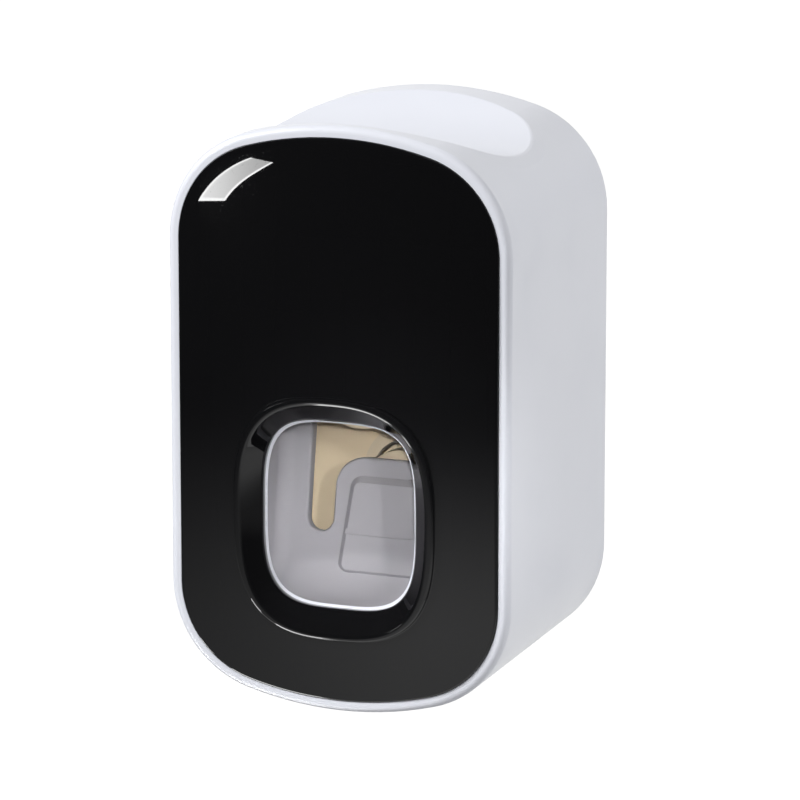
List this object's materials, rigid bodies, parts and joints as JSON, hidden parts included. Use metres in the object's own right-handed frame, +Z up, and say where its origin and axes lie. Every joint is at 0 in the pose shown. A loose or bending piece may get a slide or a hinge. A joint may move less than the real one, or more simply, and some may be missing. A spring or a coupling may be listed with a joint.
{
  "type": "toothpaste dispenser",
  "caption": "Wall-hung toothpaste dispenser: white moulded casing, glossy black front with a brush window, push lever and plunger pump, and a tube saddle on top.",
  "frame": {"origin": "centre of the adhesive pad's face on the wall, at the casing's mid-height", "axes": "+Z up, +Y into the wall, +X to the right of someone who faces the front"},
  "size_m": [0.0636, 0.0622, 0.104],
  "materials": {
    "white_shell": "white moulded ABS, satin gloss",
    "black_panel": "deep black, high gloss",
    "white_lever": "white moulded acetal, fine satin",
    "cream_pump": "cream moulded polypropylene, satin",
    "acetal": "natural acetal, satin",
    "silicone": "translucent soft silicone, matt",
    "steel": "ground stainless steel",
    "zinc_steel": "bright zinc-plated steel",
    "foam_tape": "double-sided acrylic foam tape"
  },
  "bodies": {
    "wall_mount": {"wall_bracket": "white_shell", "adhesive_pad": "foam_tape"},
    "dispenser": {"casing": "white_shell", "front_frame": "white_shell", "front_panel": "black_panel", "pump_housing": "cream_pump", "neck_seal": "silicone", "inlet_valve": "silicone", "outlet_nozzle": "cream_pump", "outlet_valve": "silicone", "plunger_guide": "acetal", "lever_pin": "steel", "pin_clip_right": "zinc_steel", "pin_clip_left": "zinc_steel", "return_spring": "steel", "gallery_plug_upper": "cream_pump", "gallery_plug_lower": "cream_pump", "pump_screw_lower_left": "zinc_steel", "pump_screw_upper_left": "zinc_steel", "pump_screw_lower_right": "zinc_steel", "pump_screw_upper_right": "zinc_steel"},
    "lever": {"push_lever": "white_lever", "lever_bush_right": "acetal", "lever_bush_left": "acetal"},
    "pump_plunger": {"plunger": "acetal", "piston": "acetal", "piston_seal": "silicone"}
  },
  "joints": [
    {"name": "lift_off", "type": "slide", "parent": "wall_mount", "child": "dispenser", "axis": [0, 0, 1], "range_m": [0, 0.04]},
    {"name": "lever_swing", "type": "hinge", "parent": "dispenser", "child": "lever", "pos_m": [0, -0.0262, 0.012], "axis": [1, 0, 0], "range_deg": [0, 8], "stiffness_Nm_per_rad": 0.5, "springref_deg": -14.32},
    {"name": "plunger_slide", "type": "slide", "parent": "dispenser", "child": "pump_plunger", "axis": [0, 1, 0], "range_m": [0, 0.0042], "deforming": ["return_spring"]}
  ],
  "couplings": [
    {"joint": "plunger_slide", "follows": "lever_swing", "m_per_rad": 0.03}
  ]
}
